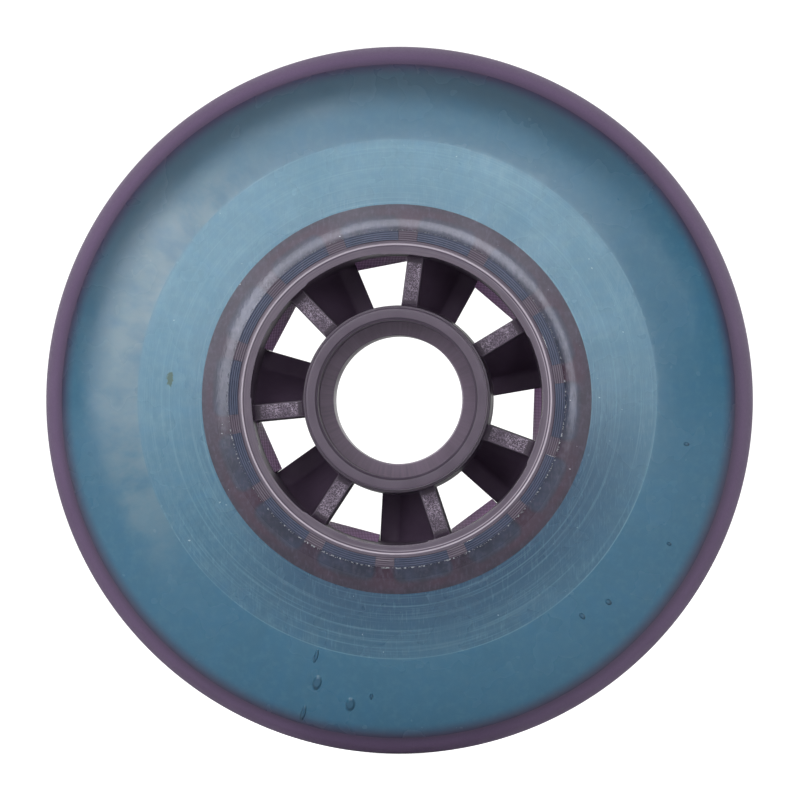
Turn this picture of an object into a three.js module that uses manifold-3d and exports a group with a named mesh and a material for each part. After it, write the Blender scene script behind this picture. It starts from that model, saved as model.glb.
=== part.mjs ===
// A bare wheel: a two-colour urethane tyre cast onto a moulded seven-blade hub for two ball bearings.
// Millimetres, +Z up. The axle lies along Y and the origin is the wheel's centre.
// Angles are clock angles: 0 points up (+Z) and they grow clockwise as seen from the front (-Y).

import * as THREE from 'three';
import { mergeVertices } from 'three/addons/utils/BufferGeometryUtils.js';
import { ConvexGeometry } from 'three/addons/geometries/ConvexGeometry.js';
import Module from 'manifold-3d';

const wasm = await Module();
wasm.setup();

// ---------------------------------------------------------------- driving dimensions

const SEGMENTS = 56;             // facets round a turn, a multiple of both 7 and 14
const GAP = 0.3;                 // room left between pieces that are cast against each other

// Bearing barrel, for two bearings of 22 mm outside diameter with a spacer between them
const SEAT_R = 11;
const SEAT_DEPTH = 7;
const SHOULDER_HALF = 5.15;      // half the length of the ring that keeps the bearings apart
const BORE_R = 9.05;
const BARREL_HALF = SHOULDER_HALF + SEAT_DEPTH;
const BARREL_R = 12.75;
const BARREL_STEP_R = 13.1;      // small step part way down the outside of the barrel
const BARREL_STEP_Y = 10.1;
const BARREL_MID_R = 13.4;
const SEAT_CHAMFER = 0.35;

// Rim and anchor ring of the hub
const RIM_MID_R = 20.1;
const RIM_MOUTH_R = 20.42;
const RIM_LIP_R = 21.35;
const RIM_BAND_R = 22;
const TRIM_R = 23.5;              // where the turning tool ended the casting's flash
const FLANGE_R = 27.25;
const RIM_FACE_Y = 11.4;
const BAND_Y = 11.5;
const TRIM_Y = 11.65;
const FLANGE_Y = 9.8;

// Blades: seven front blades, seven rear blades and the sloping webs that join them
const BLADES = 7;
const PITCH_DEG = 360 / BLADES;
const OPENING_DEG = -6.7;        // clock angle of the middle of one see-through opening
const FRONT_BLADE = { turn: 14.1, left: -1.27, right: 1.27 };
const REAR_BLADE = { turn: -15.9, left: -0.87, right: 1.67 };
const PAD_Y = 8.8;               // outer face of a blade, measured from the middle plane
const BLADE_BACK_Y = 1.5;
const PAD_R = [14, 19.2];        // the flat of a blade, between the fillets at its ends
const END_FILLET = 1.1;
const BLADE_ROOT_R = 12.2;
const BLADE_TIP_R = 21;
const WEB_Y = 6;                 // where a web leaves the side of its blade
const WEB_BITE = 0.3;            // how far a web reaches into a blade
const LEDGE_HALF = 2.2;          // half the thickness of the ledge outside each opening
const LEDGE_CORNERS = [[19.2, -10.9], [19.7, 10.4]];  // radius, degrees from the opening's middle

// Anchor windows, through the anchor ring from side to side
const WINDOWS = 2 * BLADES;
const WINDOW_DEG = 16.9;         // clock angle of the middle of one window
const WINDOW_SPAN_DEG = 19.2;
const WINDOW_R = [22.2, 25.6];
const WINDOW_CORNER = 1.2;

// Casting and tread
const WHEEL_R = 50;
const TREAD_EDGE_R = 47.5;       // where the two colours meet on the shoulder
const SKIN_UNDER_Y = FLANGE_Y + GAP;
const FILLET_R = 25.4;           // end of the ramp from the trimmed edge down to the side face
const FILLET_Y = 11.18;
const SIDE_EDGE = [36.4, 9.18];  // radius and height of the crease between side face and shoulder
const SHOULDER_PULL = [6.4, 1.55];
const CROWN_PULL = 4.9;
const JOINT_PULL_R = 43;         // bends the joint between casting and tread inwards
const SHOULDER_STEPS = 7;
const JOINT_STEPS = 4;

// ---------------------------------------------------------------- shape helpers

const point = (r, y) => new THREE.Vector2(r, y);

// A point at a radius and clock angle, at height y along the axle.
function polar(r, degrees, y = 0) {
  const angle = THREE.MathUtils.degToRad(degrees);
  return new THREE.Vector3(r * Math.sin(angle), y, r * Math.cos(angle));
}

// Turns a closed three.js geometry into a solid that can be joined and cut.
function solid(geometry) {
  const bare = geometry.clone();
  bare.deleteAttribute('normal');
  bare.deleteAttribute('uv');
  const merged = mergeVertices(bare, 1e-4);
  return new wasm.Manifold(new wasm.Mesh({
    numProp: 3,
    vertProperties: new Float32Array(merged.attributes.position.array),
    triVerts: new Uint32Array(merged.index.array),
  }));
}

// Turns half a profile, given on the +Y side from the bore outwards, into a whole ring about the axle.
function ring(half) {
  const other = half.filter((p) => p.y > 0).map((p) => point(p.x, -p.y)).reverse();
  const outline = [...half, ...other];
  outline.reverse();
  return solid(new THREE.LatheGeometry([...outline, outline[0].clone()], SEGMENTS));
}

// A flat outline seen from the front (x to the right, y up), made solid between two heights on the axle.
function plate(shape, low, high) {
  const geometry = new THREE.ExtrudeGeometry(shape, { depth: high - low, bevelEnabled: false });
  geometry.rotateX(Math.PI / 2).translate(0, high, 0);
  return solid(geometry);
}

const turned = (item, degrees) => item.rotate([0, degrees, 0]);

function union(items) {
  return items.reduce((sum, item) => sum.add(item));
}

function around(count, first, make) {
  return Array.from({ length: count }, (_, i) => turned(make(), first + (i * 360) / count));
}

function toMesh(name, body, color, roughness) {
  const { vertProperties, triVerts } = body.getMesh();
  const geometry = new THREE.BufferGeometry();
  geometry.setAttribute('position', new THREE.BufferAttribute(vertProperties, 3));
  geometry.setIndex(new THREE.BufferAttribute(triVerts, 1));
  geometry.computeVertexNormals();
  const material = new THREE.MeshStandardMaterial({ color, roughness, metalness: 0 });
  const mesh = new THREE.Mesh(geometry, material);
  mesh.name = name;
  return mesh;
}

// ---------------------------------------------------------------- hub

function barrel() {
  return ring([
    point(BORE_R, 0),
    point(BORE_R, SHOULDER_HALF),
    point(SEAT_R, SHOULDER_HALF),
    point(SEAT_R, BARREL_HALF - SEAT_CHAMFER),
    point(SEAT_R + SEAT_CHAMFER, BARREL_HALF),
    point(BARREL_R - SEAT_CHAMFER, BARREL_HALF),
    point(BARREL_R, BARREL_HALF - SEAT_CHAMFER),
    point(BARREL_R, BARREL_STEP_Y),
    point(BARREL_STEP_R, BARREL_STEP_Y),
    point(BARREL_MID_R, 0),
  ]);
}

function rim() {
  return ring([
    point(RIM_MID_R, 0),
    point(RIM_MOUTH_R, RIM_FACE_Y),
    point(RIM_LIP_R, RIM_FACE_Y),
    point(RIM_BAND_R, BAND_Y),
    point(TRIM_R, TRIM_Y),
    point(TRIM_R, FLANGE_Y),
    point(FLANGE_R, FLANGE_Y),
    point(FLANGE_R, 0),
  ]);
}

// One straight blade between barrel and rim. side is -1 for the front blades and 1 for the rear ones.
function blade({ left, right }, side) {
  const [padStart, padEnd] = PAD_R;
  const face = side * PAD_Y;
  const raised = side * (PAD_Y + END_FILLET);
  const section = new THREE.Shape();
  section.moveTo(BLADE_ROOT_R, side * BLADE_BACK_Y);
  section.lineTo(BLADE_ROOT_R, raised);
  section.lineTo(padStart - END_FILLET, raised);
  section.quadraticCurveTo(padStart - END_FILLET, face, padStart, face);
  section.lineTo(padEnd, face);
  section.quadraticCurveTo(padEnd + END_FILLET, face, padEnd + END_FILLET, raised);
  section.lineTo(BLADE_TIP_R, raised);
  section.lineTo(BLADE_TIP_R, side * BLADE_BACK_Y);
  const options = { depth: right - left, bevelEnabled: false, curveSegments: 4 };
  const geometry = new THREE.ExtrudeGeometry(section, options);
  geometry.rotateY(-Math.PI / 2).translate(right, 0, 0);
  return solid(geometry);
}

// The sloping web from the right side of a front blade to the left side of the next rear blade.
function web() {
  const points = [];
  const fromBlade = (x, turn, heights) => {
    for (const r of [BLADE_ROOT_R, BLADE_TIP_R]) {
      const degrees = turn + THREE.MathUtils.radToDeg(Math.asin(x / r));
      heights.forEach((y) => points.push(polar(r, degrees, y)));
    }
  };
  fromBlade(FRONT_BLADE.right - WEB_BITE, FRONT_BLADE.turn, [-WEB_Y, -BLADE_BACK_Y]);
  fromBlade(REAR_BLADE.left + WEB_BITE, REAR_BLADE.turn + PITCH_DEG, [BLADE_BACK_Y, WEB_Y]);
  return solid(new ConvexGeometry(points));
}

// The ledge inside the rim that closes the outer end of each opening with a straight edge.
function ledge() {
  const [left, right] = LEDGE_CORNERS;
  const corners = [left, right, [BLADE_TIP_R, right[1]], [BLADE_TIP_R, left[1]]];
  const outline = corners.map(([r, degrees]) => polar(r, degrees));
  return plate(new THREE.Shape(outline.map((p) => point(p.x, p.z))), -LEDGE_HALF, LEDGE_HALF);
}

function spoke() {
  return union([
    turned(blade(FRONT_BLADE, -1), FRONT_BLADE.turn),
    turned(blade(REAR_BLADE, 1), REAR_BLADE.turn),
    web(),
    ledge(),
  ]);
}

// ---------------------------------------------------------------- anchor windows

// Outline of an anchor window with rounded outer corners, made smaller all round by inset.
function windowOutline(inset) {
  const inner = WINDOW_R[0] + inset;
  const outer = WINDOW_R[1] - inset;
  const halfAt = (r) => THREE.MathUtils.degToRad(WINDOW_SPAN_DEG / 2) - inset / r;
  const bend = WINDOW_CORNER / outer;
  const at = (r, angle) => [r * Math.sin(angle), r * Math.cos(angle)];
  const shape = new THREE.Shape();
  shape.moveTo(...at(inner, -halfAt(inner)));
  shape.lineTo(...at(outer - WINDOW_CORNER, -halfAt(outer)));
  shape.quadraticCurveTo(...at(outer, -halfAt(outer)), ...at(outer, -halfAt(outer) + bend));
  shape.lineTo(...at(outer, 0));
  shape.lineTo(...at(outer, halfAt(outer) - bend));
  shape.quadraticCurveTo(...at(outer, halfAt(outer)), ...at(outer - WINDOW_CORNER, halfAt(outer)));
  shape.lineTo(...at(inner, halfAt(inner)));
  shape.lineTo(...at(inner, 0));
  return shape;
}

function windowPlug(inset) {
  return plate(new THREE.Shape(windowOutline(inset).getPoints(3)), -BARREL_HALF, BARREL_HALF);
}

function hubCore() {
  const body = union([barrel(), rim(), ...around(BLADES, OPENING_DEG, spoke)]);
  return body.subtract(union(around(WINDOWS, WINDOW_DEG, () => windowPlug(0))));
}

// ---------------------------------------------------------------- urethane

const shoulder = new THREE.CubicBezierCurve(
  point(...SIDE_EDGE),
  point(SIDE_EDGE[0] + SHOULDER_PULL[0], SIDE_EDGE[1] - SHOULDER_PULL[1]),
  point(WHEEL_R, CROWN_PULL),
  point(WHEEL_R, 0),
);

// How far along the shoulder curve a radius is reached.
function shoulderAt(r) {
  let [low, high] = [0, 1];
  while (high - low > 1e-6) {
    const middle = (low + high) / 2;
    if (shoulder.getPoint(middle).x < r) low = middle;
    else high = middle;
  }
  return low;
}

function shoulderPoints(from, to) {
  const step = (to - from) / SHOULDER_STEPS;
  return Array.from({ length: SHOULDER_STEPS + 1 }, (_, i) => shoulder.getPoint(from + i * step));
}

// The bonded joint, from its edge on the shoulder to the middle plane. inset moves it towards the axle.
function jointPoints(edge, inset) {
  const pull = point(JOINT_PULL_R - inset, 0);
  const curve = new THREE.QuadraticBezierCurve(edge, pull, point(edge.x, -edge.y));
  return Array.from({ length: JOINT_STEPS / 2 + 1 }, (_, i) => curve.getPoint(i / JOINT_STEPS));
}

// The skin's ramp from the trimmed edge down to the side face.
function skinPoints() {
  const start = point(TRIM_R + GAP, TRIM_Y - 0.1);
  const bend = point((TRIM_R + FILLET_R) / 2, FILLET_Y);
  return new THREE.QuadraticBezierCurve(start, bend, point(FILLET_R, FILLET_Y)).getPoints(4);
}

function innerUrethane() {
  const surface = [...skinPoints(), ...shoulderPoints(0, shoulderAt(TREAD_EDGE_R - GAP))];
  const joint = jointPoints(surface.at(-1), GAP);
  const casting = ring([
    point(FLANGE_R + GAP, 0),
    point(FLANGE_R + GAP, SKIN_UNDER_Y),
    point(TRIM_R + GAP, SKIN_UNDER_Y),
    ...surface,
    ...joint.slice(1),
  ]);
  const reach = ring([
    point(WINDOW_R[0], 0),
    point(WINDOW_R[0], BAND_Y),
    ...skinPoints(),
    point(FILLET_R, 0),
  ]);
  const locks = union(around(WINDOWS, WINDOW_DEG, () => windowPlug(GAP))).intersect(reach);
  return casting.add(locks);
}

function outerTread() {
  const joint = jointPoints(shoulder.getPoint(shoulderAt(TREAD_EDGE_R)), 0);
  const crown = shoulderPoints(shoulderAt(TREAD_EDGE_R), 1);
  return ring([...joint.slice(1).reverse(), ...crown]);
}

// ---------------------------------------------------------------- the wheel

const wheel = new THREE.Group();
wheel.name = 'wheel';
wheel.add(
  toMesh('hub_core', hubCore(), 0x4a3f4f, 0.42),
  toMesh('inner_urethane', innerUrethane(), 0x5d8ba3, 0.35),
  toMesh('outer_tread', outerTread(), 0x5c4c66, 0.7),
);

export default wheel;
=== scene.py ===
"""A bare cast-urethane wheel on a moulded seven-blade hub, standing on a pale floor.

The CAD frame gives the wheel's place and size. Every piece is rebuilt here as a finer mesh. Lengths in
the shape code are millimetres in the frame's own axes (axle along Y, Z up), and angles are clock angles,
0 at the top and growing clockwise as seen from the front (-Y).
"""

import math

import bmesh
import bpy
from mathutils import Matrix, Vector


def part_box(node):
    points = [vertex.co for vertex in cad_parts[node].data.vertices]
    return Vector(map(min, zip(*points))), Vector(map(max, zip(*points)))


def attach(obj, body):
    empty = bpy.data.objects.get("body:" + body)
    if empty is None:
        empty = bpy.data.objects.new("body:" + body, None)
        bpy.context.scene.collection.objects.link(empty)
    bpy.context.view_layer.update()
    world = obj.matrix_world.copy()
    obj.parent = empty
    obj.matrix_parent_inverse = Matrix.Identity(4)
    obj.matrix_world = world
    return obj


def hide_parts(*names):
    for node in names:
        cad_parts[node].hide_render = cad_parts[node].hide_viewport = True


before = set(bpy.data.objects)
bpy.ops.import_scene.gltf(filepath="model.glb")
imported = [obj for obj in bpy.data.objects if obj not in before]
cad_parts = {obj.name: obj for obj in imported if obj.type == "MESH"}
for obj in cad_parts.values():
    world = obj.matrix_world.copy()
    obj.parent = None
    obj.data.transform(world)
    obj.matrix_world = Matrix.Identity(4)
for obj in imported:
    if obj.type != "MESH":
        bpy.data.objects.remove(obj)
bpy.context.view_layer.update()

MM = 0.001
HUB_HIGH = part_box("hub_core")[1]
TREAD_LOW, TREAD_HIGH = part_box("outer_tread")

# ------------------------------------------------------------------ sizes, in millimetres

WHEEL_R = TREAD_HIGH.z / MM
HUB_HALF = HUB_HIGH.y / MM
FLANGE_R = HUB_HIGH.z / MM
TURN_STEPS = 336  # facets round a turn, a multiple of 7 and 14
HAIR = 0.01  # less than any real step of the shape

# Barrel: bearing seats, the shoulder ring between them, and the stepped outside
SEAT_R, SEAT_DEPTH, SEAT_CHAMFER, BORE_R = 11.0, 7.0, 0.35, 9.05
SHOULDER_HALF = HUB_HALF - SEAT_DEPTH
BARREL_R, BARREL_STEP_R, BARREL_MID_R, BARREL_STEP_Y = 12.75, 13.1, 13.4, 10.1

# Rim: its mouth, the bead, the turned band, the edge where the casting is trimmed, and the flange
RIM_MID_R, RIM_MOUTH_R, RIM_LIP_R = 20.1, 20.42, 21.35
RIM_FACE_Y, BEAD_Y, BAND_Y = 11.4, 11.62, 11.5
BEAD_R, BAND_R, TRIM_R, TRIM_Y = 21.65, 22.0, 23.5, 11.65
BEAD_HANDLES = (-0.12, 0.15)  # the bead's curve is pulled towards points on both sides of its crest
GROOVES, GROOVE_DEPTH = 5, 0.05
GROOVE_START, GROOVE_MIDDLE, GROOVE_END = 0.35, 0.5, 0.65  # shares of one groove's spacing
FLANGE_Y = 9.8
MOUTH_DRAFT, MOUTH_ROUND = 0.06, 0.12
MOUTH_PAD = (0.9, 20.0)  # degrees from the middle of an opening, where the rim's mouth is thicker
MOUTH_PAD_THICK, MOUTH_PAD_Y = 0.16, 9.6

# Blades: Z sections, a blade on each face with a web between them
BLADES = 7
PITCH = 360 / BLADES
OPENING = -6.7  # clock angle of the middle of one opening
FRONT_TURN, FRONT_SIDES = 14.1, (-1.27, 1.27)  # a blade's direction from an opening, and its two sides
REAR_TURN, REAR_SIDES = -15.9, (-0.87, 1.67)
PAD_Y, BLADE_BACK_Y, WEB_Y = 8.8, 1.5, 6.0
PAD_R = (14.0, 19.2)
END_FILLET, WEB_FILLET, BACK_ROUND, TOP_ROUND = 1.1, 0.5, 0.25, 0.14
BLADE_DRAFT = 0.17
BEND_STEPS = 3
# Radii of a blade's sections, closest in the fillets at its two ends
BLADE_STATIONS = [12.5, 12.9, 13.0, 13.15, 13.3, 13.5, 13.75, 14.0, 15.0, 16.0, 17.0, 18.0,
                  19.2, 19.45, 19.7, 19.9, 20.05, 20.2, 20.3, 21.0]

# Ledges: radius and clock angle of the inner edge's two ends, counted from an opening
LEDGE_CORNERS = ((19.2, -10.9), (19.7, 10.4))
LEDGE_LIP, LEDGE_FOOT = 0.45, 4.0  # half of its thickness at the inner edge and at the rim
LEDGE_FOOT_R, LEDGE_ROOT_R = RIM_MID_R + 0.15, RIM_MID_R + 0.9
LEDGE_STEPS = 8

# Anchor windows through the flange, and the plugs that the casting fills them with
WINDOWS = 2 * BLADES
WINDOW_FIRST, WINDOW_SPAN = 16.9, 19.2
WINDOW_R, WINDOW_CORNER, WINDOW_STEP = (22.2, 25.6), 1.2, 0.5
PLUG_GAP, PLUG_OVERLAP = 0.03, 0.3

# Casting and tread
BOND_GAP, SKIN_GAP, SKIN_DROP = 0.01, 0.02, 0.04
RAMP_BEND, RAMP_END = (TRIM_R + 0.65, 11.37), (25.4, 11.18)
SIDE_EDGE = (36.4, 9.18)
SHOULDER_PULL, CROWN_PULL = (6.4, 1.55), 4.9
EDGE_R, EDGE_DROP = 47.4, 0.18  # the circle where the two colours meet, cast a little below the axle
JOINT_PULL_R = 43.0
SHOULDER_STEPS, CROWN_STEPS, JOINT_STEPS = 30, 20, 20

# Material slots of the hub. Slot 0 is its plain plastic.
PAD_SLOT, LEDGE_SLOT = 1, 2


# ------------------------------------------------------------------ outlines

def bezier(points, steps):
    """Points along a Bezier curve of any order, both ends included."""
    curve = []
    for i in range(steps + 1):
        row, t = [Vector(p) for p in points], i / steps
        while len(row) > 1:
            row = [a.lerp(b, t) for a, b in zip(row, row[1:])]
        curve.append(tuple(row[0]))
    return curve


def soften(corners, closed=False, steps=4):
    """Rounds the corners given as (x, y, reach). A bend starts that far from its corner on both sides."""
    path = []
    for i, corner in enumerate(corners):
        here = Vector(corner[:2])
        reach = corner[2] if len(corner) > 2 else 0
        if not reach or (not closed and i in (0, len(corners) - 1)):
            path.append(tuple(here))
            continue
        before = Vector(corners[i - 1][:2]) - here
        after = Vector(corners[(i + 1) % len(corners)][:2]) - here
        ends = [here + side.normalized() * min(reach, side.length * 0.49) for side in (before, after)]
        path += bezier([ends[0], here, ends[1]], steps)
    return path


def mirrored(half):
    """A closed outline from its half on the +Y side, which starts and ends on the middle plane."""
    return half + [(r, -y) for r, y in reversed(half) if y > 1e-9]


def polar(r, degrees, y=0.0):
    angle = math.radians(degrees)
    return Vector((r * math.sin(angle), y, r * math.cos(angle)))


# ------------------------------------------------------------------ meshes

def mesh_object(name, build):
    """Makes an object from what build(bm) adds, in millimetres, with faces pointing out."""
    bm = bmesh.new()
    build(bm)
    bmesh.ops.recalc_face_normals(bm, faces=bm.faces)
    bmesh.ops.scale(bm, vec=(MM, MM, MM), verts=bm.verts)
    mesh = bpy.data.meshes.new(name)
    bm.to_mesh(mesh)
    bm.free()
    piece = bpy.data.objects.new(name, mesh)
    bpy.context.scene.collection.objects.link(piece)
    return piece


def loft(bm, loops, closed=False, slots=None):
    """Joins loops of equal length with quads. An open loft gets end caps, a closed one joins end to end."""
    rows = [[bm.verts.new(p) for p in loop] for loop in loops]
    pairs = list(zip(rows, rows[1:])) + ([(rows[-1], rows[0])] if closed else [])
    for low, high in pairs:
        for i in range(len(low)):
            j = (i + 1) % len(low)
            face = bm.faces.new((low[i], low[j], high[j], high[i]))
            face.material_index = slots[i] if slots else 0
    if not closed:
        bm.faces.new(reversed(rows[0]))
        bm.faces.new(rows[-1])


def ring(bm, outline_at):
    """Turns the closed (radius, y) outline that outline_at(degrees) gives for each clock angle."""
    loops = []
    for step in range(TURN_STEPS):
        degrees = 360 * step / TURN_STEPS
        loops.append([polar(r, degrees, y) for r, y in outline_at(degrees)])
    loft(bm, loops, closed=True)


def turned(name, outline):
    return mesh_object(name, lambda bm: ring(bm, lambda degrees: outline))


def boolean(target, tool, operation):
    """Joins or cuts target with tool, which it uses up."""
    cut = target.modifiers.new(operation.lower(), "BOOLEAN")
    cut.operation, cut.solver, cut.object = operation, "EXACT", tool
    cut.material_mode = "INDEX"
    depsgraph = bpy.context.evaluated_depsgraph_get()
    mesh = bpy.data.meshes.new_from_object(target.evaluated_get(depsgraph))
    target.modifiers.clear()
    target.data = mesh
    bpy.data.objects.remove(tool)


def finish_surface(piece, sharp=32, weld=1e-7):
    """Welds stray doubles, marks the edges sharper than sharp degrees and shades the rest smooth."""
    bm = bmesh.new()
    bm.from_mesh(piece.data)
    bmesh.ops.remove_doubles(bm, verts=bm.verts, dist=weld)
    bmesh.ops.dissolve_degenerate(bm, edges=bm.edges, dist=weld)
    for face in bm.faces:
        face.smooth = True
    for edge in bm.edges:
        edge.smooth = not (edge.is_manifold and edge.calc_face_angle(0) > math.radians(sharp))
    bm.to_mesh(piece.data)
    bm.free()


# ------------------------------------------------------------------ hub

def barrel_outline():
    """Half of it is (radius, y, how far the corner is rounded)."""
    return mirrored(soften([
        (BORE_R, 0),
        (BORE_R, SHOULDER_HALF, 0.2),
        (SEAT_R, SHOULDER_HALF, 0.12),
        (SEAT_R, HUB_HALF - SEAT_CHAMFER, 0.1),
        (SEAT_R + SEAT_CHAMFER, HUB_HALF, 0.1),
        (BARREL_R, HUB_HALF, 0.35),
        (BARREL_R, BARREL_STEP_Y, 0.1),
        (BARREL_STEP_R, BARREL_STEP_Y, 0.12),
        (BARREL_MID_R, 0),
    ]))


def band_points():
    """The turned band from the bead to the trimmed edge, with its tool grooves."""
    points = []
    for i in range(GROOVES):
        for part in (0.0, GROOVE_START, GROOVE_MIDDLE, GROOVE_END):
            share = (i + part) / GROOVES
            depth = GROOVE_DEPTH if part == GROOVE_MIDDLE else 0
            y = BAND_Y + (TRIM_Y - BAND_Y) * share - depth
            points.append((BAND_R + (TRIM_R - BAND_R) * share, y))
    return points + [(TRIM_R, TRIM_Y)]


def bead_points():
    pull = BEAD_Y + (BEAD_Y - RIM_FACE_Y) * 0.2
    handles = [(BEAD_R + offset, pull) for offset in BEAD_HANDLES]
    return bezier([(RIM_LIP_R, RIM_FACE_Y), *handles, (BAND_R, BAND_Y)], 8)


def rim_outline():
    mouth = soften([
        (RIM_MID_R, 0),
        (RIM_MOUTH_R - MOUTH_DRAFT, MOUTH_PAD_Y),
        (RIM_MOUTH_R, RIM_FACE_Y, MOUTH_ROUND),
        (RIM_LIP_R, RIM_FACE_Y),
    ])
    flange = [(TRIM_R, FLANGE_Y), (FLANGE_R, FLANGE_Y), (FLANGE_R, 0)]
    return mirrored(mouth[:-1] + bead_points() + band_points()[1:] + flange)


def mouth_pads(r, y, degrees):
    """Moves a point of the rim's mouth in at each blade, where it is thicker. The rear is the front turned
    over."""
    if r > RIM_MOUTH_R + MOUTH_ROUND + HAIR or abs(y) < MOUTH_PAD_Y + HAIR:
        return r
    clock = degrees if y < 0 else 2 * OPENING - degrees
    at = (clock - OPENING) % PITCH
    return r - MOUTH_PAD_THICK if MOUTH_PAD[0] <= at <= MOUTH_PAD[1] else r


def rim_at(degrees, outline):
    return [(mouth_pads(r, y, degrees), y) for r, y in outline]


def on_line(turn, x, r):
    """The clock angle where a line x millimetres beside direction turn, and parallel to it, meets radius r."""
    return turn + math.degrees(math.asin(x / r))


def end_rise(r):
    """How far a blade's face rises in the fillets at its two ends."""
    beyond = max(PAD_R[0] - r, r - PAD_R[1], 0)
    beyond = min(beyond, END_FILLET)
    return END_FILLET - math.sqrt(END_FILLET ** 2 - beyond ** 2)


def blade_section(r):
    """The loop of one Z section at radius r: front blade, web and rear blade."""
    rise = end_rise(r)
    (fl, fr), (rl, rr) = FRONT_SIDES, REAR_SIDES
    front, rear = OPENING + FRONT_TURN, OPENING + REAR_TURN + PITCH
    top = PAD_Y + rise
    corners = [
        (front, fl, -BLADE_BACK_Y, BACK_ROUND),
        (front, fl + BLADE_DRAFT, -top, TOP_ROUND),
        (front, fr - BLADE_DRAFT, -top, TOP_ROUND),
        (front, fr, -WEB_Y - rise, WEB_FILLET),
        (rear, rl, BLADE_BACK_Y - rise, WEB_FILLET),
        (rear, rr, BLADE_BACK_Y, BACK_ROUND),
        (rear, rr - BLADE_DRAFT, top, TOP_ROUND),
        (rear, rl + BLADE_DRAFT, top, TOP_ROUND),
        (rear, rl, WEB_Y + rise, WEB_FILLET),
        (front, fr, -BLADE_BACK_Y + rise, WEB_FILLET),
    ]
    flat = [(r * math.radians(on_line(turn, x, r)), y, reach) for turn, x, y, reach in corners]
    return [polar(r, math.degrees(u / r), y) for u, y in soften(flat, True, BEND_STEPS)]


def section_slots(count):
    """The material slot of each side of a section: its two textured pads point along the axle."""
    per_corner = BEND_STEPS + 1
    pads = {per_corner * 2 - 1, per_corner * 7 - 1}
    return [PAD_SLOT if i in pads else 0 for i in range(count)]


def add_blade(bm, turn):
    spin = Matrix.Rotation(math.radians(turn), 3, "Y")
    loops = [[spin @ p for p in blade_section(r)] for r in BLADE_STATIONS]
    loft(bm, loops, slots=section_slots(len(loops[0])))


def add_ledge(bm, turn):
    """The ledge outside an opening: a wedge with a straight inner edge."""
    left, right = (polar(r, OPENING + degrees + turn) for r, degrees in LEDGE_CORNERS)
    loops = []
    for i in range(LEDGE_STEPS + 1):
        edge = left.lerp(right, i / LEDGE_STEPS)
        foot, root = edge.normalized() * LEDGE_FOOT_R, edge.normalized() * LEDGE_ROOT_R
        front = [(edge, -LEDGE_LIP), (foot, -LEDGE_FOOT), (root, -LEDGE_FOOT)]
        rear = [(root, LEDGE_FOOT), (foot, LEDGE_FOOT), (edge, LEDGE_LIP)]
        loops.append([Vector((p.x, y, p.z)) for p, y in front + rear])
    loft(bm, loops, slots=[LEDGE_SLOT] * len(loops[0]))


def window_prism(bm, middle, inset):
    """One anchor window, from side to side of the wheel, made smaller all round by inset."""
    low, high = WINDOW_R[0] + inset, WINDOW_R[1] - inset
    half = [math.radians(WINDOW_SPAN / 2) - inset / r for r in (low, high)]
    flat = [
        (-half[0] * low, low),
        (-half[1] * high, high, WINDOW_CORNER),
        (half[1] * high, high, WINDOW_CORNER),
        (half[0] * low, low),
    ]
    arc = []
    rounded = soften(flat, closed=True, steps=5)
    for a, b in zip(rounded, rounded[1:] + rounded[:1]):
        (u, r), across, out = a, b[0] - a[0], b[1] - a[1]
        parts = max(1, round(abs(across) / WINDOW_STEP))
        arc += [(u + across * k / parts, r + out * k / parts) for k in range(parts)]
    loops = [[polar(r, middle + math.degrees(u / r), y) for u, r in arc] for y in (-HUB_HALF, HUB_HALF)]
    loft(bm, loops)


def all_windows(inset):
    def build(bm):
        for i in range(WINDOWS):
            window_prism(bm, WINDOW_FIRST + 360 * i / WINDOWS, inset)
    return mesh_object("windows", build)


def make_hub():
    outline = rim_outline()
    rim = mesh_object("hub", lambda bm: ring(bm, lambda degrees: rim_at(degrees, outline)))
    boolean(rim, all_windows(0), "DIFFERENCE")
    boolean(rim, turned("barrel", barrel_outline()), "UNION")
    for add in (add_blade, add_ledge):
        for i in range(BLADES):
            boolean(rim, mesh_object("spoke", lambda bm: add(bm, PITCH * i)), "UNION")
    finish_surface(rim)
    return rim


# ------------------------------------------------------------------ urethane

def edge_radius(degrees):
    return EDGE_R - EDGE_DROP * math.cos(math.radians(degrees))


def shoulder_curve(samples=400):
    """From the crease at the side face over the shoulder to the middle of the tread, as (radius, y)."""
    pull = (SIDE_EDGE[0] + SHOULDER_PULL[0], SIDE_EDGE[1] - SHOULDER_PULL[1])
    return bezier([SIDE_EDGE, pull, (WHEEL_R, CROWN_PULL), (WHEEL_R, 0)], samples)


SHOULDER = shoulder_curve()


def shoulder_points(low_r, high_r, steps):
    """Points along the shoulder between two radii, always steps + 1 of them."""
    rounding = 1e-6
    last = len(SHOULDER) - 1
    low, high = (next((i for i, p in enumerate(SHOULDER) if p[0] >= radius - rounding), last)
                 for radius in (low_r, high_r))
    return [SHOULDER[round(low + (high - low) * i / steps)] for i in range(steps + 1)]


def joint_points(edge):
    """The bonded joint, from its edge on the shoulder to the middle plane. It bows inwards."""
    return bezier([edge, (JOINT_PULL_R, 0), (edge[0], -edge[1])], JOINT_STEPS)[:JOINT_STEPS // 2 + 1]


def skin_points():
    """The skin's ramp from the trimmed edge down to the side face."""
    start = (TRIM_R + SKIN_GAP, TRIM_Y - SKIN_DROP)
    return bezier([start, RAMP_BEND, RAMP_END], 8)


def side_points():
    """The cone of the side face, with a ring of points over the edge of the hub's flange."""
    start, end, steps = Vector(RAMP_END), Vector(SIDE_EDGE), 8
    over_flange = (FLANGE_R - RAMP_END[0]) / (SIDE_EDGE[0] - RAMP_END[0])
    beyond = [over_flange + (1 - over_flange) * i / steps for i in range(1, steps)]
    shares = [over_flange / 2, over_flange] + beyond
    return [tuple(start.lerp(end, share)) for share in shares]


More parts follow.
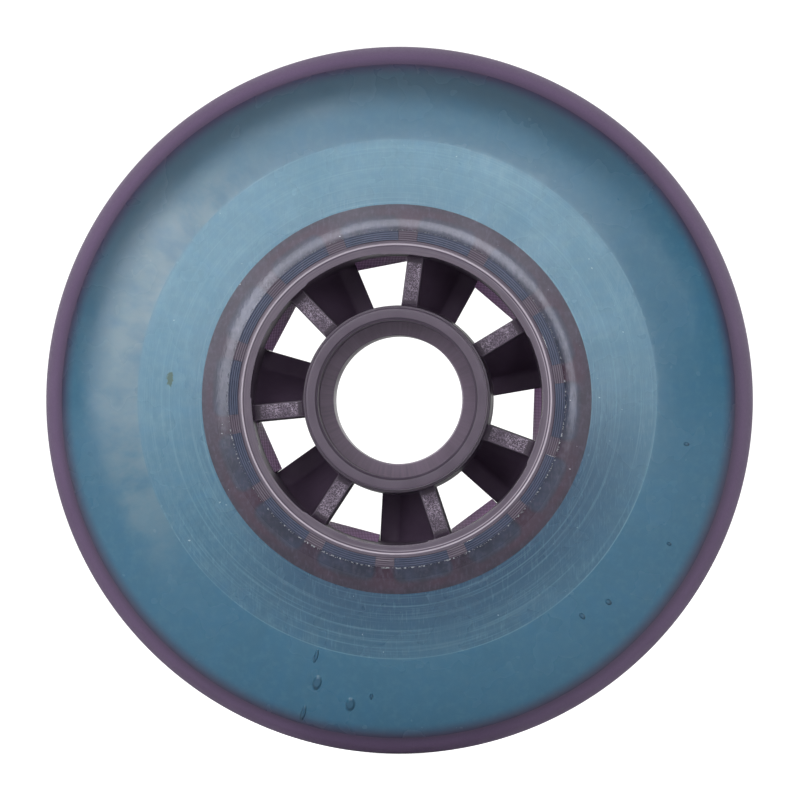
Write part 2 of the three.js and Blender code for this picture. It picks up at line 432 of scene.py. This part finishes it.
def surface_by_radius(piece, *limits):
    """Gives each face the material slot that counts how many of the limits lie inside its radius."""
    for face in piece.data.polygons:
        radius = math.hypot(face.center.x, face.center.z) / MM
        face.material_index = sum(radius > limit for limit in limits)


def casting_at(degrees):
    shoulder = shoulder_points(SIDE_EDGE[0], edge_radius(degrees), SHOULDER_STEPS)
    under = [
        (FLANGE_R + BOND_GAP, 0),
        (FLANGE_R + BOND_GAP, FLANGE_Y + BOND_GAP),
        (TRIM_R + SKIN_GAP, FLANGE_Y + BOND_GAP),
    ]
    return mirrored(under + skin_points() + side_points() + shoulder + joint_points(shoulder[-1])[1:])


def tread_at(degrees):
    crown = shoulder_points(edge_radius(degrees), WHEEL_R, CROWN_STEPS)
    return mirrored(joint_points(crown[0])[:0:-1] + crown)


def make_inner():
    """The casting, with a plug in each window that shows its end in the turned band."""
    band = [(BAND_R, 0)] + [(r, y - BOND_GAP) for r, y in band_points()]
    far_r, far_y = WINDOW_R[1] + PLUG_OVERLAP, FLANGE_Y + PLUG_OVERLAP
    under_skin = [(TRIM_R + PLUG_GAP, far_y), (far_r, far_y), (far_r, 0)]
    plugs = all_windows(PLUG_GAP)
    boolean(plugs, turned("reach", mirrored(band + under_skin)), "INTERSECT")
    inner = mesh_object("casting", lambda bm: ring(bm, casting_at))
    boolean(inner, plugs, "UNION")
    finish_surface(inner)
    surface_by_radius(inner, FLANGE_R, SIDE_EDGE[0])
    return inner


def make_tread():
    tread = mesh_object("tread", lambda bm: ring(bm, tread_at))
    finish_surface(tread)
    return tread


# ------------------------------------------------------------------ material helpers

class Surface:
    """A material with short calls for its nodes. Positions are millimetres in the frame's axes."""

    def __init__(self, name):
        self.material = bpy.data.materials.new(name)
        self.material.use_nodes = True
        self.tree = self.material.node_tree
        self.shader = self.tree.nodes["Principled BSDF"]
        spot = self.add("VectorMath", operation="SCALE")
        self.feed(spot.inputs[0], self.add("TexCoord").outputs["Object"])
        spot.inputs["Scale"].default_value = 1 / MM
        self.spot = spot.outputs[0]
        split = self.add("SeparateXYZ")
        self.feed(split.inputs[0], self.spot)
        self.x, self.y, self.z = split.outputs
        self.flat = self.vector(self.x, 0, self.z)
        self.radius = self.length(self.flat)
        self.height = self.math("ABSOLUTE", self.y)
        self.clock = self.times(self.math("ARCTAN2", self.x, self.z), 180 / math.pi)
        unit = self.add("VectorMath", operation="NORMALIZE")
        self.feed(unit.inputs[0], self.flat)
        self.direction = unit.outputs[0]

    def add(self, kind, **settings):
        node = self.tree.nodes.new("ShaderNode" + kind)
        for key, value in settings.items():
            setattr(node, key, value)
        return node

    def feed(self, socket, value):
        if isinstance(value, bpy.types.NodeSocket):
            self.tree.links.new(value, socket)
        else:
            socket.default_value = value

    def math(self, operation, *values):
        node = self.add("Math", operation=operation)
        for socket, value in zip(node.inputs, values):
            self.feed(socket, value)
        return node.outputs[0]

    def times(self, first, second):
        return self.math("MULTIPLY", first, second)

    def length(self, vector):
        node = self.add("VectorMath", operation="LENGTH")
        self.feed(node.inputs[0], vector)
        return node.outputs["Value"]

    def vector(self, x, y, z):
        node = self.add("CombineXYZ")
        for socket, value in zip(node.inputs, (x, y, z)):
            self.feed(socket, value)
        return node.outputs[0]

    def step(self, value, low, high, first=0.0, last=1.0):
        """A smooth step from first at low to last at high."""
        node = self.add("MapRange", interpolation_type="SMOOTHSTEP")
        for socket, number in zip(node.inputs, (value, low, high, first, last)):
            self.feed(socket, number)
        return node.outputs["Result"]

    def mix(self, share, first, second):
        """The colour that lies a share of the way from first to second."""
        node = self.add("Mix", data_type="RGBA")
        color_a, color_b, result = 6, 7, 2  # a Mix node's sockets for colours
        for index, value in ((0, share), (color_a, first), (color_b, second)):
            self.feed(node.inputs[index], value)
        return node.outputs[result]

    def stretched(self, vector, scale):
        node = self.add("VectorMath", operation="MULTIPLY")
        self.feed(node.inputs[0], vector)
        node.inputs[1].default_value = scale
        return node.outputs[0]

    def noise(self, vector, scale=1.0, detail=3.0, rough=0.55):
        node = self.add("TexNoise")
        self.feed(node.inputs["Vector"], vector)
        node.inputs["Scale"].default_value = scale
        node.inputs["Detail"].default_value = detail
        node.inputs["Roughness"].default_value = rough
        return node.outputs["Fac"]

    def rings(self, per_mm, detail=2.0):
        """Fine lines round the axle, slowly changing along their length."""
        slow_x, slow_z = (self.times(axis, 0.04) for axis in (self.x, self.z))
        return self.noise(self.vector(slow_x, self.times(self.radius, per_mm), slow_z), 1.0, detail)

    def rays(self, count, detail=2.0):
        """Fine lines that run out from the axle."""
        spread = self.add("SeparateXYZ")
        self.feed(spread.inputs[0], self.stretched(self.direction, (count, count, count)))
        along = self.times(self.radius, 0.12)
        return self.noise(self.vector(spread.outputs[0], along, spread.outputs[2]), 1.0, detail)

    def bump(self, height, distance_mm, strength=1.0, below=None):
        node = self.add("Bump")
        node.inputs["Strength"].default_value = strength
        node.inputs["Distance"].default_value = distance_mm * MM
        self.feed(node.inputs["Height"], height)
        if below is not None:
            self.feed(node.inputs["Normal"], below)
        return node.outputs["Normal"]

    def finish(self, color, roughness, normal=None):
        self.feed(self.shader.inputs["Base Color"], color)
        self.feed(self.shader.inputs["Roughness"], roughness)
        if normal is not None:
            self.feed(self.shader.inputs["Normal"], normal)
        return self.material


# ------------------------------------------------------------------ colours

def rgb(red, green, blue):
    """A screen colour, 0 to 255, as the linear colour that a shader takes."""
    def linear(part):
        share = part / 255
        return share / 12.92 if share <= 0.04045 else ((share + 0.055) / 1.055) ** 2.4
    return (linear(red), linear(green), linear(blue), 1.0)


# Hub
HUB_DARK = rgb(78, 68, 83)
HUB_LIGHT = rgb(94, 82, 99)
HUB_MOTTLE = rgb(66, 56, 70)
# Painted shade for the recesses between the blades
HUB_RECESS_SHADE = rgb(58, 41, 63)
HUB_TOOL_LINE = rgb(118, 110, 122)
# Painted shade in the band's grooves
HUB_GROOVE_SHADE = rgb(44, 36, 50)
HUB_RAY = rgb(112, 94, 116)
# Painted shade at the seat's chamfer and round the barrel
HUB_EDGE_SHADE = rgb(34, 26, 38)
# Painted highlights along edges
HUB_PAINTED_HIGHLIGHT = rgb(196, 186, 200)
PAD_DULL = rgb(112, 98, 118)
PAD_BRIGHT = rgb(160, 146, 166)
PAD_PIT = rgb(62, 51, 66)
# Painted shade in the fillets at the blades' ends
PAD_FILLET_SHADE = rgb(56, 44, 60)
LEDGE_PURPLE = rgb(112, 70, 120)
# Painted glow on the ledges' ridges
LEDGE_PAINTED_GLOW = rgb(206, 158, 214)

# Thin skin over the hub
WALL_DARK = rgb(34, 29, 43)
WALL_LIGHT = rgb(46, 37, 52)
WALL_RED = rgb(66, 36, 52)
PANE_DARK = rgb(34, 40, 56)
PANE_LIGHT = rgb(46, 54, 74)
PANE_OUTLINE = rgb(30, 32, 42)
SKIN_SPECK = rgb(76, 70, 86)
SKIN_BAND = rgb(100, 108, 132)
# Painted shade in the band's grooves, over the plugs
SKIN_GROOVE_SHADE = rgb(28, 32, 46)
SKIN_TORN = rgb(190, 194, 202)
SKIN_BRUSHED = rgb(92, 88, 106)

# Teal casting, its side face and its shoulder
TEAL_DARK = rgb(68, 107, 130)
TEAL_LIGHT = rgb(80, 122, 147)
TEAL_STREAK = rgb(66, 116, 150)
TEAL_HAZE = rgb(104, 140, 156)
SIDE_NEAR_HUB = rgb(76, 96, 118)
# Painted shade low beside the hub
SIDE_LOW_SHADE = rgb(48, 70, 98)
SIDE_PALE_LINE = rgb(122, 158, 172)
SIDE_DARK_LINE = rgb(52, 92, 116)
SIDE_SCRATCH = rgb(116, 152, 168)
# Painted highlight along the crease
SIDE_CREASE_HIGHLIGHT = rgb(128, 168, 184)
SIDE_DUST = rgb(176, 196, 204)
SIDE_CHIP = rgb(60, 78, 60)
SHOULDER_TEAL = rgb(54, 104, 132)
# Painted reflection on the left of the shoulder
SHOULDER_PAINTED_REFLECTION = rgb(128, 148, 156)
# Painted shade near the shoulder's edge at the top
SHOULDER_TOP_SHADE = rgb(68, 82, 94)
SHOULDER_EDGE = rgb(66, 60, 84)
BUBBLE_SHADE = rgb(46, 84, 110)

# Tread and floor
TREAD_DARK = rgb(90, 72, 102)
TREAD_LIGHT = rgb(108, 87, 121)
TREAD_GRAIN = rgb(91, 70, 103)
TREAD_JOINT = rgb(66, 56, 78)
FLOOR_DARK = rgb(218, 218, 218)
FLOOR_LIGHT = rgb(226, 226, 226)


# ------------------------------------------------------------------ materials

def hub_plastic():
    """Dark purple plastic with tool lines on the turned rim. Between the blades it is duller and has painted
    shade; painted shade also lines the grooves, the seat's chamfer and the barrel's outside, and painted
    highlights line some edges.
    """
    s = Surface("hub_plastic")
    cloud = s.noise(s.spot, 0.35, 3)
    color = s.mix(cloud, HUB_DARK, HUB_LIGHT)
    color = s.mix(s.times(s.noise(s.spot, 5.0, 2), 0.35), color, HUB_MOTTLE)
    between = s.times(s.step(s.radius, BARREL_MID_R - 0.2, BARREL_MID_R + 0.2),
                      s.step(s.radius, RIM_MID_R + 0.3, RIM_MID_R - 0.1))
    recess_shade = s.times(between, s.step(s.height, PAD_Y - 0.2, PAD_Y - 1.8))
    # Painted shade: darker in the recesses between the blades, which are also rougher
    color = s.mix(s.times(recess_shade, 0.92), color, HUB_RECESS_SHADE)
    lines = s.rings(5.0)
    rim = s.times(s.step(s.height, RIM_FACE_Y - 0.4, RIM_FACE_Y - 0.1),
                  s.step(s.radius, RIM_MID_R - 0.1, RIM_MID_R + 0.3))
    color = s.mix(s.times(rim, lines), color, HUB_TOOL_LINE)
    # Painted shade: dark lines along the grooves of the turned band
    color = s.mix(s.times(rim, groove_shade_lines(s)), color, HUB_GROOVE_SHADE)
    shoulder = s.times(s.step(s.radius, SEAT_R + 0.1, SEAT_R - 0.1), s.step(s.height, 5.5, 5.2))
    streaks = s.rays(26.0)
    color = s.mix(s.times(shoulder, streaks), color, HUB_RAY)
    # Painted shade: dark lines at the seat's chamfer and round the outside of the barrel
    color = s.mix(seat_shade_lines(s), color, HUB_EDGE_SHADE)
    # Painted highlights along the bead, the lip, the barrel's outer edge and the bore's edge
    color = s.mix(painted_edge_highlights(s), color, HUB_PAINTED_HIGHLIGHT)
    rough = s.math("SUBTRACT", s.step(cloud, 0.3, 0.7, 0.34, 0.46), s.times(rim, 0.2))
    rough = s.math("ADD", rough, s.times(recess_shade, 0.4))
    grain = s.bump(s.noise(s.spot, 6.0, 2), 0.01)
    tool = s.bump(s.times(rim, lines), 0.03, 1.0, grain)
    normal = s.bump(s.times(shoulder, streaks), 0.03, 1.0, tool)
    return s.finish(color, rough, normal)


def groove_shade_lines(s):
    """Painted shade: dark lines along the grooves of the turned band."""
    pitch = (TRIM_R - BAND_R) / GROOVES
    along = s.times(s.math("SUBTRACT", s.radius, BAND_R), 2 * math.pi / pitch)
    dark = s.step(s.math("COSINE", along), 0.1, -0.8, 0, 0.6)
    return s.times(dark, s.step(s.radius, BAND_R - 0.05, BAND_R + 0.05))


def thin_ring(s, radius, half_width):
    """1 on a circle round the axle, gone half_width away from it."""
    away = s.math("ABSOLUTE", s.math("SUBTRACT", s.radius, radius))
    return s.step(away, half_width, half_width * 0.35)


def painted_edge_highlights(s):
    """Painted highlights along edges: the rim's bead, a line beside it, the barrel's outer edge and the
    bore's.
    """
    # The painted highlights beside the bead, on the barrel and at the bore sit on the lower right only
    low_right = s.step(facing(s, 120), -0.2, 0.9)
    bead = s.times(thin_ring(s, BEAD_R - 0.03, 0.15), s.step(s.height, 11.3, 11.5, 0, 0.75))
    beside = s.times(thin_ring(s, RIM_LIP_R - 0.1, 0.1), s.step(s.height, 11.2, 11.35, 0, 0.55))
    barrel = s.times(thin_ring(s, BARREL_R - 0.03, 0.1), s.step(s.height, 11.5, 11.8, 0, 0.5))
    bore = s.times(thin_ring(s, BORE_R + 0.1, 0.1), s.step(s.height, 4.8, 5.0, 0, 0.45))
    local = s.times(s.math("MAXIMUM", s.math("MAXIMUM", beside, barrel), bore), low_right)
    return s.math("MAXIMUM", bead, local)


def seat_shade_lines(s):
    """Painted shade: dark lines at the foot of the seat's chamfer and round the outside of the barrel."""
    front = s.step(s.height, 11.0, 11.4)
    joint = s.times(thin_ring(s, SEAT_R + 0.3, 0.12), front)
    outside = s.times(thin_ring(s, BARREL_STEP_R + 0.06, 0.14), s.step(s.height, 7.0, 8.0))
    return s.math("MAXIMUM", s.times(joint, 0.6), s.times(outside, 0.8))


def blade_face():
    """The spark-eroded faces of the blades, with painted shade in the smooth fillets at their two ends."""
    s = Surface("blade_face")
    grain, patch = s.noise(s.spot, 7.0, 2, 0.6), s.noise(s.spot, 0.5, 2)
    light = s.mix(s.step(patch, 0.35, 0.65), PAD_DULL, PAD_BRIGHT)
    color = s.mix(s.step(grain, 0.42, 0.64), PAD_PIT, light)
    # Painted shade in the fillets at the blade's two ends
    ends = s.math("MAXIMUM", s.step(s.radius, 14.1, 13.8), s.step(s.radius, 19.1, 19.4))
    color = s.mix(ends, color, PAD_FILLET_SHADE)
    return s.finish(color, s.step(grain, 0.3, 0.7, 0.5, 0.34), s.bump(grain, 0.12))


def ledge_face():
    """The crosshatched texture of the ledges: two sets of fine crossing ridges, purple with a painted lilac
    glow on the ridges.
    """
    s = Surface("ledge")
    pitch = 0.42
    ridges = [s.math("SINE", s.times(s.math("ADD", s.x, side), 2 * math.pi / pitch))
              for side in (s.z, s.times(s.z, -1))]
    weave = s.step(s.times(*ridges), -0.35, 0.35)
    # The lilac on the ridges is painted glow
    color = s.mix(weave, LEDGE_PURPLE, LEDGE_PAINTED_GLOW)
    return s.finish(color, s.step(weave, 0, 1, 0.6, 0.45), s.bump(weave, 0.05))


def window_distance(s):
    """Millimetres from an anchor window's outline, negative inside the window.

    Whole turns keep the clock angle positive, and the window is taken 2 mm further in, under the band."""
    pitch = 360 / WINDOWS
    shifted = s.math("ADD", s.math("SUBTRACT", s.clock, WINDOW_FIRST), 2 * 360 + pitch / 2)
    local = s.math("SUBTRACT", s.math("MODULO", shifted, pitch), pitch / 2)
    across = s.times(s.times(local, math.pi / 180), s.radius)
    low, high = WINDOW_R[0] - 2, WINDOW_R[1]
    half_angle = s.times(s.radius, math.radians(WINDOW_SPAN / 2))
    side = s.math("ADD", s.math("SUBTRACT", s.math("ABSOLUTE", across), half_angle), WINDOW_CORNER)
    from_middle = s.math("ABSOLUTE", s.math("SUBTRACT", s.radius, (low + high) / 2))
    out = s.math("SUBTRACT", from_middle, (high - low) / 2 - WINDOW_CORNER)
    corner = s.length(s.vector(s.math("MAXIMUM", side, 0), s.math("MAXIMUM", out, 0), 0))
    inside = s.math("MINIMUM", s.math("MAXIMUM", side, out), 0)
    return s.math("SUBTRACT", s.math("ADD", corner, inside), WINDOW_CORNER)


def skin_over_hub(s):
    """The hub as the thin skin shows it: dark walls, redder in places, and the bluish filled windows."""
    away = window_distance(s)
    speck, blotch, slow = s.noise(s.spot, 1.6, 4), s.noise(s.spot, 0.4, 3), s.noise(s.spot, 0.12, 2)
    wall = s.mix(s.step(blotch, 0.35, 0.65), WALL_DARK, WALL_LIGHT)
    red = s.times(s.step(s.radius, 27.2, 26.2), s.step(slow, 0.4, 0.6, 0.1, 0.55))
    wall = s.mix(red, wall, WALL_RED)
    pane = s.mix(s.step(blotch, 0.35, 0.65), PANE_DARK, PANE_LIGHT)
    color = s.mix(s.step(away, -0.3, 0.35), pane, wall)
    outline = s.step(s.math("ABSOLUTE", away), 0.3, 0.05)
    color = s.mix(s.times(outline, 0.3), color, PANE_OUTLINE)
    color = s.mix(s.step(speck, 0.45, 0.75, 0, 0.35), color, SKIN_SPECK)
    band = s.step(s.radius, TRIM_R + 0.05, TRIM_R - 0.05)
    color = s.mix(s.times(band, 0.5), color, SKIN_BAND)
    # Painted shade: dark lines along the grooves of the band
    return s.mix(s.times(band, groove_shade_lines(s)), color, SKIN_GROOVE_SHADE)


# Bubbles and drips in the shoulder and a chip in the side face, each an oval given by its clock angle,
# radius, half width and half length
BUBBLES = [
    (188.8, 43.3, 0.75, 1.05), (195.8, 41.3, 0.7, 1.15), (196.8, 46.0, 0.4, 1.3),
    (133.8, 41.0, 0.4, 0.55), (139.5, 39.9, 0.35, 0.6), (98.8, 41.0, 0.3, 0.45),
    (118.0, 43.1, 0.25, 0.4), (185.0, 41.8, 0.25, 0.5), (197.5, 37.7, 0.3, 1.1),
]
CHIP = (275.2, 31.9, 1.1, 0.5)


def edge_distance(s):
    """Millimetres outside the circle where the two colours meet."""
    from_centre = s.length(s.vector(s.x, 0, s.math("ADD", s.z, EDGE_DROP)))
    return s.math("SUBTRACT", from_centre, EDGE_R)


def mark(s, clock, radius, wide, long):
    """How far a point lies from a small oval mark's middle: 1 is its outline."""
    angle = math.radians(clock)
    east, north = math.sin(angle), math.cos(angle)

    def along(x, z, offset, size):
        line = s.math("MULTIPLY_ADD", s.x, x / size, -offset / size)
        return s.math("MULTIPLY_ADD", s.z, z / size, line)

    return s.length(s.vector(along(north, -east, 0, wide), along(east, north, radius, long), 0))


def facing(s, clock):
    """1 on the side of the wheel towards a clock angle, falling to -1 on the far side."""
    node = s.add("VectorMath", operation="DOT_PRODUCT")
    s.feed(node.inputs[0], s.direction)
    node.inputs[1].default_value = polar(1.0, clock)
    return node.outputs["Value"]


def teal(s):
    """The casting's own colour: slow clouds, streaks that run out from the hub and fine haze."""
    cloud, streaks, haze = s.noise(s.spot, 0.06, 3), s.rays(14.0), s.noise(s.spot, 0.9, 5, 0.65)
    color = s.mix(cloud, TEAL_DARK, TEAL_LIGHT)
    color = s.mix(s.step(streaks, 0.4, 0.75, 0, 0.4), color, TEAL_STREAK)
    return s.mix(s.step(haze, 0.42, 0.7, 0, 0.35), color, TEAL_HAZE)


def dust(s):
    """A few pale specks."""
    return s.step(s.noise(s.spot, 2.4, 0), 0.87, 0.9, 0, 0.7)


def cloudy(s, rough, spread):
    """Roughness that drifts by spread round its middle value."""
    return s.step(s.noise(s.spot, 0.12, 3), 0.3, 0.7, rough - spread, rough + spread)


def through_light(s, weight):
    """A little light passes into the casting and comes out near by."""
    depth = 2 * MM
    s.shader.inputs["Subsurface Weight"].default_value = weight
    s.shader.inputs["Subsurface Radius"].default_value = (0.35, 0.9, 1.2)
    s.shader.inputs["Subsurface Scale"].default_value = depth


def casting_skin():
    """The thin skin over the anchor ring, torn into white specks where the turning tool stopped."""
    s = Surface("casting_skin")
    color = skin_over_hub(s)
    trim = s.times(s.step(s.radius, TRIM_R + 0.3, TRIM_R + 0.1),
                   s.step(s.radius, TRIM_R, TRIM_R + 0.05))
    torn = s.times(trim, s.step(s.noise(s.spot, 3.4, 2), 0.55, 0.62))
    torn = s.times(torn, s.step(facing(s, 170), -0.5, 0.4, 0.25, 1.0))
    color = s.mix(s.math("MAXIMUM", torn, dust(s)), color, SKIN_TORN)
    brushed = s.noise(s.stretched(s.spot, (2.5, 1.0, 0.8)), 1.0, 4)
    color = s.mix(s.step(brushed, 0.5, 0.72, 0, 0.25), color, SKIN_BRUSHED)
    normal = s.bump(brushed, 0.02)
    normal = s.bump(torn, 0.1, 1.0, normal)
    s.shader.inputs["Specular IOR Level"].default_value = 0.8
    s.shader.inputs["Specular Tint"].default_value = (0.86, 0.87, 1.0, 1.0)
    rough = s.math("ADD", cloudy(s, 0.2, 0.04), s.step(s.radius, 24.9, 25.5, 0, 0.24))
    return s.finish(color, rough, normal)


def casting_side():
    """The turned side face: fine tool lines, haze and light scratches, painted shade low beside the hub and a
    painted highlight along the crease on that low side.
    """
    s = Surface("casting_side")
    color = s.mix(s.step(s.radius, 31.0, 27.4, 0.12, 0.3), teal(s), SIDE_NEAR_HUB)
    # Painted shade on the low side beside the hub; the painted crease highlight below uses the same side
    low = s.step(facing(s, 155), 0.0, 0.8)
    color = s.mix(s.times(low, s.step(s.radius, 39.0, 27.4, 0.2, 0.8)), color, SIDE_LOW_SHADE)
    lines, scratch = s.rings(3.5, 3.0), s.noise(s.stretched(s.spot, (5.0, 1.0, 0.7)), 1.0, 4)
    color = s.mix(s.step(lines, 0.5, 0.72, 0, 0.3), color, SIDE_PALE_LINE)
    color = s.mix(s.step(lines, 0.46, 0.28, 0, 0.25), color, SIDE_DARK_LINE)
    color = s.mix(s.step(scratch, 0.5, 0.75, 0, 0.25), color, SIDE_SCRATCH)
    # Painted highlight: a pale line along the crease, on the low side only
    crease = s.step(s.radius, SIDE_EDGE[0] - 0.22, SIDE_EDGE[0] - 0.05, 0, 0.4)
    color = s.mix(s.times(crease, low), color, SIDE_CREASE_HIGHLIGHT)
    color = s.mix(dust(s), color, SIDE_DUST)
    front = s.step(s.y, 0.5, -0.5)
    ragged = s.math("ADD", mark(s, *CHIP), s.times(s.noise(s.spot, 2.2, 2), 1.6))
    chip = s.times(s.step(ragged, 1.9, 1.5), front)
    color = s.mix(chip, color, SIDE_CHIP)
    normal = s.bump(scratch, 0.008, 1.0, s.bump(lines, 0.014))
    through_light(s, 0.35)
    s.shader.inputs["Specular Tint"].default_value = (0.68, 0.9, 1.0, 1.0)
    s.shader.inputs["Specular IOR Level"].default_value = 0.75
    return s.finish(color, cloudy(s, 0.27, 0.03), normal)


def casting_shoulder():
    """The moulded shoulder, as smooth as the mould left it, with the bubbles and drips of the pour.

    It has a painted pale reflection on the left and painted shade near its edge at the top, and the tread
    shows through that edge where it is thin."""
    s = Surface("casting_shoulder")
    color = s.mix(0.5, teal(s), SHOULDER_TEAL)
    # Painted reflection: a pale streaky patch on the left of the shoulder
    painted_reflection = s.times(s.step(facing(s, 282), 0.55, 0.9), s.step(edge_distance(s), -4.0, -7.5))
    painted_reflection = s.times(painted_reflection, s.step(s.rays(9.0, 4.0), 0.3, 0.6, 0, 0.45))
    color = s.mix(painted_reflection, color, SHOULDER_PAINTED_REFLECTION)
    # Painted shade: slate near the edge at the top
    top_shade = s.times(s.step(edge_distance(s), -8.0, -2.0), s.step(facing(s, 345), 0.1, 0.9, 0, 0.8))
    color = s.mix(top_shade, color, SHOULDER_TOP_SHADE)
    color = s.mix(s.step(edge_distance(s), -1.9, 0.3), color, SHOULDER_EDGE)
    dents = s.step(mark(s, *BUBBLES[0]), 1.0, 0.5)
    for bubble in BUBBLES[1:]:
        dents = s.math("MAXIMUM", dents, s.step(mark(s, *bubble), 1.0, 0.5))
    dents = s.times(dents, s.step(s.y, 0.5, -0.5))
    color = s.mix(s.times(dents, 0.55), color, BUBBLE_SHADE)
    normal = s.bump(dents, 0.35, 1.0, s.bump(s.noise(s.spot, 0.5, 1), 0.02))
    through_light(s, 0.35)
    return s.finish(color, cloudy(s, 0.25, 0.05), normal)


def purple_urethane():
    """Matt purple urethane with a fine grain, darker along the joint with the casting."""
    s = Surface("outer_tread")
    cloud = s.noise(s.spot, 0.09, 3)
    grain = s.noise(s.spot, 3.0, 3)
    color = s.mix(cloud, TREAD_DARK, TREAD_LIGHT)
    color = s.mix(s.times(grain, 0.3), color, TREAD_GRAIN)
    color = s.mix(s.step(edge_distance(s), 1.3, -0.2, 0, 0.8), color, TREAD_JOINT)
    rough = s.step(grain, 0.3, 0.7, 0.5, 0.62)
    return s.finish(color, rough, s.bump(grain, 0.03))


# ------------------------------------------------------------------ studio

def panel(name, tilt, clock, tall, wide, radiance):
    """A softbox 1.2 m from the wheel.

    tilt is its angle off the front, towards a clock angle. tall and wide are the degrees that it spans away
    from the front and round it."""
    distance = 1.2
    forward = Vector((0, -math.cos(math.radians(tilt)), 0))
    outward = polar(math.sin(math.radians(tilt)), clock)
    away = forward + outward
    side = outward.cross(away).normalized()
    data = bpy.data.lights.new(name, "AREA")
    data.shape = "RECTANGLE"
    data.size, data.size_y = (2 * distance * math.tan(math.radians(span / 2)) for span in (wide, tall))
    data.energy = radiance * math.pi * data.size * data.size_y
    lamp = bpy.data.objects.new(name, data)
    turn = Matrix((side, away.cross(side), away)).transposed()
    lamp.matrix_world = Matrix.Translation(away * distance) @ turn.to_4x4()
    bpy.context.scene.collection.objects.link(lamp)


def make_camera():
    """A long lens 0.9 m in front of the wheel, a little to the right of its axle and below it."""
    distance, view_width, sensor = 0.9, 0.11307, 36
    right, below = math.radians(1.8), math.radians(0.7)
    data = bpy.data.cameras.new("camera")
    data.sensor_width = sensor
    data.lens = sensor * distance / view_width
    data.shift_x = 0.00125
    camera = bpy.data.objects.new("camera", data)
    camera.location = (distance * math.tan(right), -distance, -distance * math.tan(below))
    camera.rotation_euler = (-camera.location).to_track_quat("-Z", "Y").to_euler()
    bpy.context.scene.collection.objects.link(camera)
    bpy.context.scene.camera = camera


def make_world():
    """White to the camera. As light it is bright behind the wheel and dim in front of it."""
    starts_at, full_at, dim, bright = -0.2, 0.6, 0.03, 1.18
    world = bpy.data.worlds.new("studio")
    world.use_nodes = True
    tree = world.node_tree
    coordinate = tree.nodes.new("ShaderNodeTexCoord")
    split = tree.nodes.new("ShaderNodeSeparateXYZ")
    tree.links.new(coordinate.outputs["Generated"], split.inputs[0])
    behind = tree.nodes.new("ShaderNodeMapRange")
    behind.interpolation_type = "SMOOTHSTEP"
    for socket, value in zip(behind.inputs[1:], (starts_at, full_at, dim, bright)):
        socket.default_value = value
    tree.links.new(split.outputs["Y"], behind.inputs["Value"])
    rays = tree.nodes.new("ShaderNodeLightPath")
    seen = tree.nodes.new("ShaderNodeMath")
    seen.operation = "MAXIMUM"
    tree.links.new(behind.outputs["Result"], seen.inputs[0])
    tree.links.new(rays.outputs["Is Camera Ray"], seen.inputs[1])
    tree.links.new(seen.outputs[0], tree.nodes["Background"].inputs["Strength"])
    tree.nodes["Background"].inputs["Color"].default_value = (1, 1, 1, 1)
    bpy.context.scene.world = world


def make_floor():
    """A pale floor just under the tread. It glows white to the camera alone."""
    radius, clearance, strength = 2500, 0.05 * MM, 0.88
    floor = mesh_object("floor", lambda bm: bmesh.ops.create_circle(
        bm, cap_ends=True, segments=96, radius=radius))
    floor.location.z = TREAD_LOW.z - clearance
    s = Surface("floor")
    s.finish(s.mix(s.noise(s.spot, 0.02), FLOOR_DARK, FLOOR_LIGHT), 0.8)
    glow = s.add("Emission")
    glow.inputs["Strength"].default_value = strength
    seen = s.add("LightPath").outputs["Is Camera Ray"]
    bright = s.add("MixShader")
    lit = s.add("AddShader")
    s.tree.links.new(glow.outputs[0], lit.inputs[0])
    s.tree.links.new(s.shader.outputs[0], lit.inputs[1])
    s.tree.links.new(seen, bright.inputs[0])
    s.tree.links.new(s.shader.outputs[0], bright.inputs[1])
    s.tree.links.new(lit.outputs[0], bright.inputs[2])
    s.tree.links.new(bright.outputs[0], s.tree.nodes["Material Output"].inputs["Surface"])
    floor.data.materials.append(s.material)


# ------------------------------------------------------------------ the scene

make_camera()
make_world()
make_floor()
panel("roof_left", 27, 315, 8, 27, 6.7)
panel("roof_right", 24.5, 17, 12, 27, 5.75)
panel("right_near", 22, 74, 9, 19, 5.6)
panel("left_near", 27, 270, 8, 14, 4.8)
panel("left_panel", 42, 280, 20, 40, 3.9)
panel("left_upper", 40, 322, 18, 34, 2.2)
panel("roof_high", 37, 28, 10, 62, 1.7)
panel("right_back", 96, 75, 18, 50, 1.3)
panel("low_back", 84, 182, 14, 60, 2.0)

hub = make_hub()
hub.name = "hub"
for material in (hub_plastic(), blade_face(), ledge_face()):
    hub.data.materials.append(material)
inner = make_inner()
inner.name = "inner_casting"
for material in (casting_skin(), casting_side(), casting_shoulder()):
    inner.data.materials.append(material)
tread = make_tread()
tread.name = "tread"
tread.data.materials.append(purple_urethane())

STAND_INS = (
    (hub, "hub_core", "hub_plastic"),
    (inner, "inner_urethane", "inner_urethane"),
    (tread, "outer_tread", "outer_tread"),
)
for piece, node, slot in STAND_INS:
    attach(piece, "root")
    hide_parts(node)

bpy.context.scene.view_settings.view_transform = "Standard"
